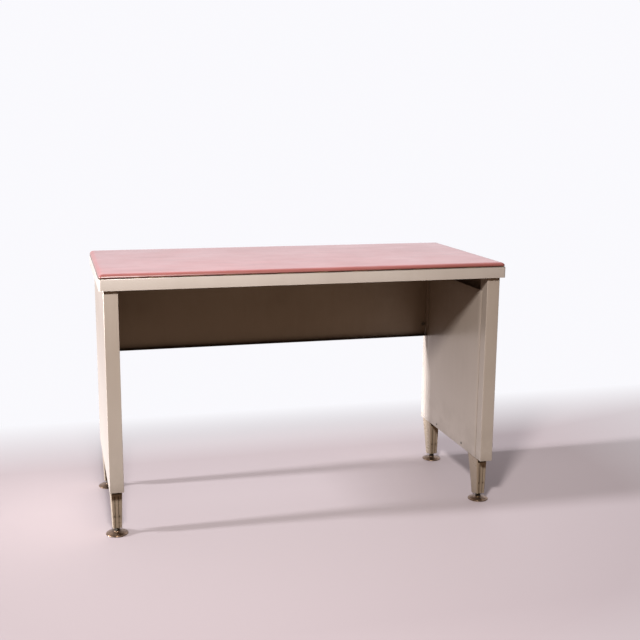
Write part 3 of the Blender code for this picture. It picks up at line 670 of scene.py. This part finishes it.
def makeTopPan():
    pan = {"corner": 0.0065, "brow": 0.0022, "hem": 0.0018, "return": 0.0105, "wall": 0.0012}
    low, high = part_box("top_pan")
    size = high - low
    centre = (low + high) / 2
    piece = addBox("topPan", centre, size)
    editBegin(piece, "EDGE")
    chooseEdges(piece, lambda e: abs(e.verts[0].co.z - e.verts[1].co.z) > 0.01)
    bpy.ops.mesh.bevel(offset=pan["corner"], segments=7, profile=0.5)
    chooseEdges(piece, lambda e: min(e.verts[0].co.z, e.verts[1].co.z) > high.z - 0.001)
    bpy.ops.mesh.bevel(offset=pan["brow"], segments=4, profile=0.5)
    # hollow it from below: the rim turns in, then the web stands up inside
    chooseFaces(piece, lambda f: f.normal.z < -0.9)
    bpy.ops.mesh.inset(thickness=pan["return"], depth=0)
    bpy.ops.mesh.extrude_region_move(TRANSFORM_OT_translate={"value": (0, 0, pan["wall"])})
    editEnd()
    editBegin(piece, "FACE")
    chooseFaces(piece, lambda f: f.normal.z < -0.9 and f.calc_area() > 0.2)
    bpy.ops.mesh.delete(type="FACE")
    editEnd()

    # inner skin, drawn as its own open box and joined on
    lining = addBox("panLining", centre, [length - 2 * pan["wall"] for length in size])
    editBegin(lining, "EDGE")
    chooseEdges(lining, lambda e: abs(e.verts[0].co.z - e.verts[1].co.z) > 0.01)
    bpy.ops.mesh.bevel(offset=pan["corner"] - pan["wall"], segments=7, profile=0.5)
    chooseFaces(lining, lambda f: f.normal.z < -0.9)
    bpy.ops.mesh.inset(thickness=pan["return"] - pan["wall"], depth=0)
    chooseFaces(lining, lambda f: f.normal.z < -0.9 and f.calc_area() > 0.4 * size.x * size.y)
    bpy.ops.mesh.delete(type="FACE")
    bpy.ops.mesh.select_all(action="SELECT")
    bpy.ops.mesh.flip_normals()
    editEnd()
    joinPieces(piece, lining)
    cleanMesh(piece, 0.00003)
    roundEdges(piece, 0.0004, 2, 60)
    smoothBy(piece, 40)
    # painted shadow on the pan's rounded top edge, where the vinyl's hem shades it
    markPaintedShade(piece, high.z - pan["brow"], high.z - pan["brow"] / 3)
    fitPiece(piece, "root", "cream_enamel", bandEnamel, "top_pan")
    print("top pan made:", len(piece.data.vertices), "points")


makeTopCover()
makeTopPan()


# end pedestals

def pedestalFrame(label):
    # the sizes of one pedestal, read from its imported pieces
    low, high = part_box(f"{label}_pedestal_skin")
    panelLow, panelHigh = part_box(f"{label}_pedestal_inner_panel")
    return {
        "outer": max(abs(low.x), abs(high.x)), "inner": min(abs(low.x), abs(high.x)),
        "front": low.y, "back": high.y, "floor": low.z, "top": high.z,
        "seamFront": panelLow.y, "seamBack": panelHigh.y, "panelTop": panelHigh.z,
    }


def makePedestalSkin(label, side):
    skin = {"lip": 0.0140, "seam": 0.0025, "ripple": 0.00055}
    f = pedestalFrame(label)
    lipFace = f["inner"] + sheetThickness + fitGap
    front = f["seamFront"] - skin["seam"]
    back = f["seamBack"] + skin["seam"]
    joggle = lipFace - f["inner"]
    route = [
        (lipFace, front + skin["lip"]), (lipFace, front), (f["inner"], front - joggle),
        (f["inner"], f["front"]), (f["outer"], f["front"]), (f["outer"], f["back"]),
        (f["inner"], f["back"]), (f["inner"], back + joggle), (lipFace, back), (lipFace, back - skin["lip"]),
    ]
    route = [(side * x, y) for x, y in route]
    piece = foldSheet(f"{label}PedestalSkin", route, "Z", f["floor"], f["top"], bend=0.0030,
                      ripple=skin["ripple"], within=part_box(f"{label}_pedestal_skin"),
                      seed=3.0 + side, side=side)
    return fitCream(piece, f"{label}_pedestal_skin")


def makeInnerPanel(label, side):
    panel = {"ripple": 0.0007, "tuck": 0.00025}
    f = pedestalFrame(label)
    face = side * f["inner"]
    route = [(face, f["seamBack"]), (face, f["seamFront"])]
    piece = foldSheet(f"{label}InnerPanel", route, "Z", f["floor"], f["panelTop"], ripple=panel["ripple"],
                      within=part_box(f"{label}_pedestal_inner_panel"), seed=9.0 + side,
                      edge=panel["tuck"], side=side)
    return fitCream(piece, f"{label}_pedestal_inner_panel")


for label, side in sides:
    makePedestalSkin(label, side)
    makeInnerPanel(label, side)
print("pedestals made")


# modesty panel with its folded edges, and the angles behind it

def makeModestyPanel():
    panel = {"ripple": 0.0009, "bend": 0.0028, "topFlange": 0.016, "shadeTop": 0.0050, "shadeFull": 0.0018}
    low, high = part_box("modesty_panel")
    route = [(low.y, low.z), (high.y, low.z), (high.y, high.z),
             (high.y - sheetThickness - panel["topFlange"], high.z)]
    piece = foldSheet("modestyPanel", route, "X", low.x, high.x, bend=panel["bend"],
                      ripple=panel["ripple"], within=(low, high), seed=5.0)
    # painted shade along the bottom lip and the lowest few millimetres of the panel, which get little light
    # under the top
    markPaintedShade(piece, low.z + panel["shadeTop"], low.z + panel["shadeFull"])
    fitCream(piece, "modesty_panel")


def makeBracket(label, side):
    bracket = {"thickness": 0.003, "bend": 0.0030, "corner": 0.0005}
    low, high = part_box(f"modesty_bracket_{label}")
    near, far = (low.x, high.x) if side > 0 else (high.x, low.x)
    route = [(near, low.y), (far, low.y), (far, high.y)]
    piece = foldSheet(f"{label}Bracket", route, "Z", low.z, high.z, bend=bracket["bend"],
                      thickness=bracket["thickness"], edge=bracket["corner"], side=side)
    fitCream(piece, f"modesty_bracket_{label}")


def makeStiffener(label):
    hat = {"flange": 0.015, "bend": 0.0026}
    low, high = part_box(f"top_stiffener_{label}")
    inner, outer = low.y + hat["flange"], high.y - hat["flange"]
    floor = low.z + sheetThickness
    route = [(low.y, high.z), (inner, high.z), (inner, floor), (outer, floor),
             (outer, high.z), (high.y, high.z)]
    piece = foldSheet(f"{label}Stiffener", route, "X", low.x, high.x, bend=hat["bend"], side=-1)
    fitCream(piece, f"top_stiffener_{label}")


makeModestyPanel()
for label, side in sides:
    makeBracket(label, side)
for label in ("front", "rear"):
    makeStiffener(label)
print("modesty panel, brackets and stiffeners made")


# pressed legs: a tapering channel with two flutes down its nose, pinched near the foot

def makeLegs():
    leg = {"endWidth": 0.026, "endDepth": 0.040, "rake": 0.010, "sheet": 0.0015, "corner": 0.0034,
           "ribHalf": 0.0037, "flutePlace": 0.0050, "fluteDepth": 0.0023, "fluteStart": 0.018,
           "runOut": 0.006, "crimpRise": 0.034, "crimpHalf": 0.0032, "dimplePlace": 0.0074,
           "dimpleWide": 0.0017, "dimple": 0.0017, "ribDrop": 0.0012, "shadowDrop": 0.018,
           "shadowFade": 0.006, "paintedShadow": 0.98, "lineHalf": 0.0011, "dimpleShade": 0.9,
           "noseCuts": 76, "arcCuts": 7, "sideCuts": 6, "rows": 88}
    low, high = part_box("leg_front_left")
    topWidth, topDepth = high.x - low.x, high.y - low.y
    noseEnd = low.z + leg["rake"]
    crimp = noseEnd + leg["crimpRise"]
    start = high.z - leg["fluteStart"]

    def smoothStep(value):
        value = min(max(value, 0.0), 1.0)
        return value * value * (3 - 2 * value)

    def outline(z):
        blend = (high.z - z) / (high.z - noseEnd)
        half = (topWidth + (leg["endWidth"] - topWidth) * blend) / 2
        depth = topDepth + (leg["endDepth"] - topDepth) * blend
        radius = leg["corner"]
        pressed = smoothStep((start - z) / leg["runOut"])
        pinch = math.exp(-((z - crimp) / leg["crimpHalf"]) ** 2)
        dropped = smoothStep((crimp + leg["crimpHalf"] - z) / (2 * leg["crimpHalf"]))
        land = half - radius - 0.0003
        # painted shadow on the top of the nose, set back under the pedestal's bottom edge
        shaded = leg["paintedShadow"] * smoothStep((z - high.z + leg["shadowDrop"]) / leg["shadowFade"])

        def press(x):
            # a steep wall beside the rib, then a long facet out to the corner
            across = abs(x)
            if across < leg["flutePlace"]:
                hollow = smoothStep((across - leg["ribHalf"]) / (leg["flutePlace"] - leg["ribHalf"]))
            else:
                hollow = max(0.0, 1 - (across - leg["flutePlace"]) / (land - leg["flutePlace"]))
            spot = math.exp(-((across - leg["dimplePlace"]) / leg["dimpleWide"]) ** 2) * pinch
            rib = smoothStep((leg["flutePlace"] - across) / (leg["flutePlace"] - leg["ribHalf"]))
            depthIn = hollow * leg["fluteDepth"] * pressed + spot * leg["dimple"]
            depthIn += rib * leg["ribDrop"] * dropped
            # painted shade: dark lines down the flutes and in the crimp dimples, added to the painted shadow
            # at the top
            line = math.exp(-((across - leg["flutePlace"]) / leg["lineHalf"]) ** 2)
            return depthIn, min(1.0, line * pressed + leg["dimpleShade"] * spot + shaded)

        points = []
        for i in range(leg["sideCuts"]):
            points.append((-half, depth + (radius - depth) * i / leg["sideCuts"], 0.0))
        for i in range(leg["arcCuts"]):
            angle = math.pi / 2 * i / leg["arcCuts"]
            points.append((-half + radius - radius * math.cos(angle),
                           radius - radius * math.sin(angle), 0.0))
        for i in range(leg["noseCuts"] + 1):
            x = (2 * i / leg["noseCuts"] - 1) * (half - radius)
            points.append((x, *press(x)))
        mirrored = points[:leg["sideCuts"] + leg["arcCuts"]][::-1]
        return points + [(-x, y, 0.0) for x, y, paintedDarkness in mirrored]

    columns = len(outline(noseEnd))
    rows = leg["rows"]
    deselectAll()
    bpy.ops.mesh.primitive_grid_add(x_subdivisions=columns - 1, y_subdivisions=rows - 1, size=1)
    pattern = bpy.context.object
    pattern.name = "legPattern"
    # each point keeps its share of painted shade for the leg paint to darken by
    paintedShading = pattern.data.attributes.new("paintedShading", "FLOAT", "POINT")
    for vert in pattern.data.vertices:
        column = round((vert.co.x + 0.5) * (columns - 1))
        row = round((vert.co.y + 0.5) * (rows - 1))
        z = noseEnd + (high.z - noseEnd) * row / (rows - 1)
        x, y, paintedDarkness = outline(z)[column]
        rake = leg["rake"] * y / leg["endDepth"] * max(0.0, 1 - (z - noseEnd) / leg["crimpRise"])
        vert.co = (x, y, z - rake)
        paintedShading.data[vert.index].value = paintedDarkness
    addModifier(pattern, "SOLIDIFY", thickness=leg["sheet"], offset=-1.0, use_even_offset=False)
    applyAll(pattern)
    roundEdges(pattern, 0.0003, 2, 55)
    smoothBy(pattern, 40)
    for foot in feet:
        corner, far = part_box(f"leg_{foot}")
        place = Matrix.Translation(((corner.x + far.x) / 2, corner.y, 0))
        piece = copyTo(pattern, f"leg.{foot}", place)
        fitPiece(piece, "root", "leg_enamel", oliveEnamel, f"leg_{foot}")
    discard(pattern)


makeLegs()
print("legs made")


# levelling glides

def fitGlides(pattern, name, part, slot, material):
    for foot in feet:
        node = f"glide_{part}_{foot}"
        spot = middle(node)
        piece = copyTo(pattern, f"{name}.{foot}", Matrix.Translation((spot.x, spot.y, 0)))
        fitPiece(piece, f"{part}_{foot}", slot, material, node)
    discard(pattern)


def makeGlideDiscs():
    disc = {"rim": 0.0030, "lip": 0.0013, "dome": 0.0078, "hubRadius": 0.0095, "socket": 0.0054,
            "socketFloor": 0.0060, "groove": 0.0005, "recess": 0.0007, "steps": 96}
    low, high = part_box("glide_disc_front_left")
    radius = (high.x - low.x) / 2
    top = high.z
    hub, bed, lip = disc["hubRadius"], disc["socketFloor"], disc["lip"]
    profile = [(0, bed), (disc["socket"], bed), (disc["socket"], top - 0.0004),
               (disc["socket"] + 0.0004, top), (hub - 0.0012, top),
               (hub - 0.0004, top - 0.0003), (hub, top - 0.0012),
               (hub, disc["dome"] + 0.0006), (hub + 0.0003, disc["dome"] + 0.0002)]
    span = radius - lip - hub - 0.0012
    for i in range(15):
        part = i / 14
        height = disc["rim"] + (disc["dome"] - disc["rim"]) * math.cos(math.pi / 2 * part) ** 1.15
        if 0.10 < part < 0.20 or 0.78 < part < 0.88:
            height -= disc["groove"]
        profile.append((hub + 0.0009 + span * part, height))
    # rolled lip
    centre = (radius - lip, lip + 0.0003)
    for i in range(9):
        angle = math.radians(105 - 195 * i / 8)
        profile.append((centre[0] + lip * math.cos(angle), centre[1] + lip * math.sin(angle)))
    profile += [(centre[0], 0.0), (radius - 0.0035, 0.0), (radius - 0.0042, disc["recess"]),
                (0.012, disc["recess"]), (0, disc["recess"])]
    pattern = turnShape("discPattern", profile, disc["steps"])
    smoothBy(pattern, 32)
    fitGlides(pattern, "glideDisc", "disc", "glide_brass", darkBrass)


def makeHexagon(name, flats, base, height, chamfer):
    deselectAll()
    bpy.ops.mesh.primitive_cylinder_add(vertices=6, radius=flats / math.sqrt(3), depth=height,
                                        location=(0, 0, base + height / 2))
    piece = bpy.context.object
    piece.name = name
    settle(piece)
    # corners are turned off by a wide cone, as on a real nut
    profile = [(0, base), (flats * 0.50, base), (flats * 0.62, base + chamfer * 1.6),
               (flats * 0.62, base + height - chamfer * 1.6), (flats * 0.50, base + height),
               (0, base + height)]
    cone = turnShape("hexCone", profile, 48)
    addModifier(piece, "BOOLEAN", operation="INTERSECT", object=cone, solver="EXACT")
    applyAll(piece)
    discard(cone)
    cleanMesh(piece, 0.00001)
    return piece


def makeStems():
    stem = {"radius": 0.0050, "root": 0.0043, "pitch": 0.0015, "hexBase": 0.0125, "hexHeight": 0.0050,
            "flats": 0.014, "sides": 28}
    low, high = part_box("glide_stem_front_left")
    crest, root, pitch = stem["radius"], stem["root"], stem["pitch"]
    hexTop = stem["hexBase"] + stem["hexHeight"]
    profile = [(0, low.z), (crest - 0.0008, low.z), (crest, low.z + 0.0008),
               (crest, hexTop), (root, hexTop + 0.0012), (root, high.z - 0.0008),
               (root - 0.0007, high.z), (0, high.z)]
    pattern = turnShape("stemPattern", profile, 40)
    hexagon = makeHexagon("stemHexagon", stem["flats"], stem["hexBase"], stem["hexHeight"], 0.0006)

    # the screw thread: one closed V is wound up the shank, a pitch to each turn
    bottom = hexTop + 0.0014
    half = pitch * 0.44
    inside = root - 0.0003
    corners = [(inside, -half), (crest - 0.0001, -0.00012), (crest - 0.0001, 0.00012),
               (inside, half)]
    outline = [(radius, bottom + half + height) for radius, height in corners]
    thread = drawOutline("stemThread", outline, closed=True)
    editEnd()
    turns = int((high.z - 0.0012 - bottom - 2 * half) / pitch)
    addModifier(thread, "SCREW", axis="Z", angle=2 * math.pi, screw_offset=pitch, steps=stem["sides"],
                render_steps=stem["sides"], iterations=turns, use_merge_vertices=False)
    applyAll(thread)
    editBegin(thread, "VERT")
    bpy.ops.mesh.select_all(action="SELECT")
    bpy.ops.mesh.remove_doubles(threshold=0.000005)
    bpy.ops.mesh.select_all(action="DESELECT")
    bpy.ops.mesh.select_non_manifold()
    bpy.ops.mesh.fill()
    bpy.ops.mesh.select_all(action="SELECT")
    bpy.ops.mesh.normals_make_consistent(inside=False)
    editEnd()
    joinPieces(pattern, hexagon, thread)
    smoothBy(pattern, 28)
    fitGlides(pattern, "glideStem", "stem", "zinc", zincPlate)


makeGlideDiscs()
makeStems()
print("glides made")


# bolts and screws, each modelled once, head downwards with its seat at height 0

def makeHexBolt(name, length):
    bolt = {"flats": 0.0115, "head": 0.0042, "radius": 0.0030, "washer": 0.0005}
    head = makeHexagon(name, bolt["flats"], -bolt["head"], bolt["head"] - bolt["washer"], 0.0007)
    profile = [(0, -bolt["washer"]), (bolt["flats"] * 0.47, -bolt["washer"]), (bolt["flats"] * 0.48, 0),
               (bolt["radius"], 0), (bolt["radius"], length - 0.0007), (bolt["radius"] - 0.0007, length),
               (0, length)]
    shank = turnShape("boltShank", profile, 32)
    joinPieces(head, shank)
    smoothBy(head, 28)
    return head


def makePanScrew(name, headRadius, head, radius, length):
    screw = {"recess": 0.55, "slot": 0.17, "steps": 40}
    profile = [(0, -head)]
    for i in range(1, 9):
        angle = math.pi / 2 * i / 8
        rise = 0.22 + 0.78 * math.cos(angle) ** 0.9
        profile.append((headRadius * math.sin(angle) ** 0.8, -head * rise))
    profile += [(headRadius, -head * 0.10), (headRadius - 0.0002, 0), (radius, 0),
                (radius, length - 0.0016), (radius * 0.45, length), (0, length)]
    piece = turnShape(name, profile, screw["steps"])
    # cross recess, cut with a pair of tapered blades
    depth = head * 0.75
    blades = []
    for turn in (0, math.pi / 2):
        blade = addBox("recessBlade", (0, 0, -head),
                       (headRadius * 2 * screw["recess"], headRadius * 2 * screw["slot"], 2 * depth))
        for vert in blade.data.vertices:
            if vert.co.z > -head:
                vert.co.x *= 0.45
                vert.co.y *= 0.75
        blade.data.transform(Matrix.Rotation(turn, 4, "Z"))
        blades.append(blade)
    for blade in blades:
        addModifier(piece, "BOOLEAN", operation="DIFFERENCE", object=blade, solver="EXACT")
        applyAll(piece)
        discard(blade)
    cleanMesh(piece, 0.000005)
    smoothBy(piece, 35)
    return piece


def fitFastener(pattern, name, place, node):
    fitPiece(copyTo(pattern, name, place), "root", "zinc", zincPlate, node)


def makeFasteners():
    boltHead = 0.0042
    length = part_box("leg_bolt_front_left_1")[1].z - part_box("leg_bolt_front_left_1")[0].z - boltHead
    pattern = makeHexBolt("legBoltPattern", length)
    for index in range(8):
        foot, number = feet[index // 2], index % 2 + 1
        node = f"leg_bolt_{foot}_{number}"
        spot = middle(node)
        place = Matrix.Translation((spot.x, spot.y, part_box(node)[0].z + boltHead))
        fitFastener(pattern, f"legBolt.{foot}.{number}", place, node)
    discard(pattern)

    low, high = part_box("modesty_bolt_1")
    pattern = makeHexBolt("modestyBoltPattern", high.y - low.y - boltHead)
    for number in range(1, 5):
        node = f"modesty_bolt_{number}"
        spot = middle(node)
        spin = Matrix.Rotation(math.radians(11 * number), 4, "Z")
        lean = Matrix.Rotation(math.radians(-90), 4, "X") @ spin
        place = Matrix.Translation((spot.x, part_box(node)[0].y + boltHead, spot.z)) @ lean
        fitFastener(pattern, f"modestyBolt.{number}", place, node)
    discard(pattern)

    small = {"headRadius": 0.0037, "head": 0.0018, "radius": 0.0020}
    large = {"headRadius": 0.0050, "head": 0.0028, "radius": 0.0025}
    low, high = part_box("right_panel_screw_1")
    pattern = makePanScrew("panelScrewPattern", length=high.x - low.x - small["head"], **small)
    for label, side in sides:
        for number in (1, 2):
            node = f"{label}_panel_screw_{number}"
            spot = middle(node)
            low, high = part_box(node)
            seat = low.x + small["head"] if side > 0 else high.x - small["head"]
            lean = Matrix.Rotation(side * math.pi / 2, 4, "Y") @ Matrix.Rotation(0.5 * number, 4, "Z")
            place = Matrix.Translation((seat, spot.y, spot.z)) @ lean
            fitFastener(pattern, f"panelScrew.{label}.{number}", place, node)
    discard(pattern)

    low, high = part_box("left_top_screw_1")
    pattern = makePanScrew("topScrewPattern", length=high.z - low.z - large["head"], **large)
    for label, side in sides:
        for number in (1, 2):
            node = f"{label}_top_screw_{number}"
            spot = middle(node)
            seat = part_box(node)[0].z + large["head"]
            lean = Matrix.Rotation(0.7 * number + side, 4, "Z")
            place = Matrix.Translation((spot.x, spot.y, seat)) @ lean
            fitFastener(pattern, f"topScrew.{label}.{number}", place, node)
    discard(pattern)


makeFasteners()
print("fasteners made")


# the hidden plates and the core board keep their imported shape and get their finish

finishes = {
    "vinyl": salmonVinyl, "board": chipBoard, "cream_enamel": creamEnamel, "leg_enamel": oliveEnamel,
    "glide_brass": darkBrass, "zinc": zincPlate,
}
slotOf = {entry["node"]: entry["material_slot"] for entry in frame["record"]["subparts"]}
for name, node in frame["nodes"].items():
    if node.hide_render:
        continue
    node.data.materials.clear()
    node.data.materials.append(finishes[slotOf[name]])
print("packed pieces finished")


# floor, light and camera

def blendShaders(tree, factor, first, second):
    node = addNode(tree, "ShaderNodeMixShader")
    if isinstance(factor, float):
        node.inputs["Fac"].default_value = factor
    else:
        tree.links.new(factor, node.inputs["Fac"])
    tree.links.new(first, node.inputs[1])
    tree.links.new(second, node.inputs[2])
    return node.outputs["Shader"]


def glowing(tree, colour):
    node = addNode(tree, "ShaderNodeEmission")
    node.inputs["Color"].default_value = (*colour, 1)
    return node.outputs["Emission"]


def makeFloor():
    floor = {"size": 40.0, "colour": (0.540, 0.460, 0.480), "front": (0.400, 0.335, 0.352),
             "glow": (0.60, 0.500, 0.525), "lit": 0.05,
             "far": (0.955, 0.95, 0.985), "fadeFrom": 1.1, "fadeTo": 3.2,
             "rearFrom": 0.38, "rearTo": 0.95, "frontFrom": -0.9, "drop": 0.0003}
    deselectAll()
    bpy.ops.mesh.primitive_plane_add(size=floor["size"], location=(0, 0, -floor["drop"]))
    piece = bpy.context.object
    piece.name = "floor"
    material, tree, shader = newMaterial("paleFloor")
    coords = addNode(tree, "ShaderNodeTexCoord")
    split = addNode(tree, "ShaderNodeSeparateXYZ")
    tree.links.new(coords.outputs["Object"], split.inputs["Vector"])
    # painted shade: the floor is painted darker towards the sitter's side, evening out the key lamp's bright
    # pool
    nearer = remap(tree, split.outputs["Y"], floor["frontFrom"], 0.0, 1.0, 0.0)
    tree.links.new(mixColour(tree, nearer, floor["colour"], floor["front"]), shader.inputs["Base Color"])
    shader.inputs["Roughness"].default_value = 0.6
    shader.inputs["Specular IOR Level"].default_value = 0.2
    # part of the floor's brightness is its own, and it fades to the pale background far out
    near = blendShaders(tree, floor["lit"], shader.outputs["BSDF"], glowing(tree, floor["glow"]))
    length = addNode(tree, "ShaderNodeVectorMath", operation="LENGTH")
    tree.links.new(coords.outputs["Object"], length.inputs[0])
    outwards = remap(tree, length.outputs["Value"], floor["fadeFrom"], floor["fadeTo"])
    rearwards = remap(tree, split.outputs["Y"], floor["rearFrom"], floor["rearTo"])
    away = calc(tree, "MAXIMUM", outwards, rearwards)
    whole = blendShaders(tree, away, near, glowing(tree, floor["far"]))
    tree.links.new(whole, tree.nodes["Material Output"].inputs["Surface"])
    piece.data.materials.append(material)
    piece.visible_diffuse = False
    piece.visible_glossy = False


def addLamp(name, kind, lamp, place, towards):
    data = bpy.data.lights.new(name, kind)
    data.energy = lamp["power"]
    data.color = lamp["colour"]
    body = bpy.data.objects.new(name, data)
    body.location = place
    body.rotation_euler = Vector(towards).to_track_quat("-Z", "Y").to_euler()
    body.visible_camera = False
    bpy.context.scene.collection.objects.link(body)
    return data


def makeLight():
    key = {"place": (-0.62, -1.88, 1.94), "aim": (0.0, 0.0, 0.45), "size": 0.30, "power": 67,
           "colour": (1.0, 0.975, 0.945)}
    data = addLamp("key", "AREA", key, key["place"], Vector(key["aim"]) - Vector(key["place"]))
    data.shape = "DISK"
    data.size = key["size"]
    window = {"towards": (1.0, -0.035, -0.16), "power": 9.0, "softness": 5,
              "colour": (0.95, 0.97, 1.0)}
    data = addLamp("leftWindow", "SUN", window, (0, 0, 3), window["towards"])
    data.angle = math.radians(window["softness"])
    # a bright wall behind the desk, a dim room on the sitter's side, a warm floor below
    sky = {"seen": (0.955, 0.95, 0.985), "wall": (0.86, 0.84, 0.90), "room": (0.074, 0.047, 0.029),
           "wallFloor": (0.52, 0.455, 0.45), "roomFloor": (0.19, 0.128, 0.086),
           "ceiling": (0.30, 0.28, 0.26)}
    world = bpy.data.worlds.new("studio")
    bpy.context.scene.world = world
    world.use_nodes = True
    tree = world.node_tree
    coords = addNode(tree, "ShaderNodeTexCoord")
    split = addNode(tree, "ShaderNodeSeparateXYZ")
    tree.links.new(coords.outputs["Generated"], split.inputs["Vector"])
    backward = remap(tree, split.outputs["Y"], -0.05, 0.45)
    around = mixColour(tree, backward, sky["room"], sky["wall"])
    below = mixColour(tree, backward, sky["roomFloor"], sky["wallFloor"])
    lit = mixColour(tree, remap(tree, split.outputs["Z"], 0.0, -0.14), around, below)
    lit = mixColour(tree, remap(tree, split.outputs["Z"], 0.55, 0.9), lit, sky["ceiling"])
    path = addNode(tree, "ShaderNodeLightPath")
    seen = mixColour(tree, path.outputs["Is Camera Ray"], lit, sky["seen"])
    tree.links.new(seen, tree.nodes["Background"].inputs["Color"])


def makeCamera():
    camera = {"place": (-0.7206, -2.9636, 1.1660), "yaw": 0.2689, "pitch": -0.1937, "roll": 0.0087,
              "lens": 55.46}
    data = bpy.data.cameras.new("camera")
    data.sensor_width = 36
    data.lens = camera["lens"]
    data.clip_start = 0.05
    data.clip_end = 60
    eye = bpy.data.objects.new("camera", data)
    yaw, pitch, roll = camera["yaw"], camera["pitch"], camera["roll"]
    forward = Vector((math.sin(yaw) * math.cos(pitch), math.cos(yaw) * math.cos(pitch), math.sin(pitch)))
    right = Vector((math.cos(yaw), -math.sin(yaw), 0))
    up = right.cross(forward)
    across = right * math.cos(roll) + up * math.sin(roll)
    above = -right * math.sin(roll) + up * math.cos(roll)
    turn = Matrix((across, above, -forward)).transposed().to_4x4()
    eye.matrix_world = Matrix.Translation(camera["place"]) @ turn
    bpy.context.scene.collection.objects.link(eye)
    bpy.context.scene.camera = eye


makeFloor()
makeLight()
makeCamera()
bpy.context.scene.view_settings.view_transform = "Standard"
print("stage, light and camera ready")
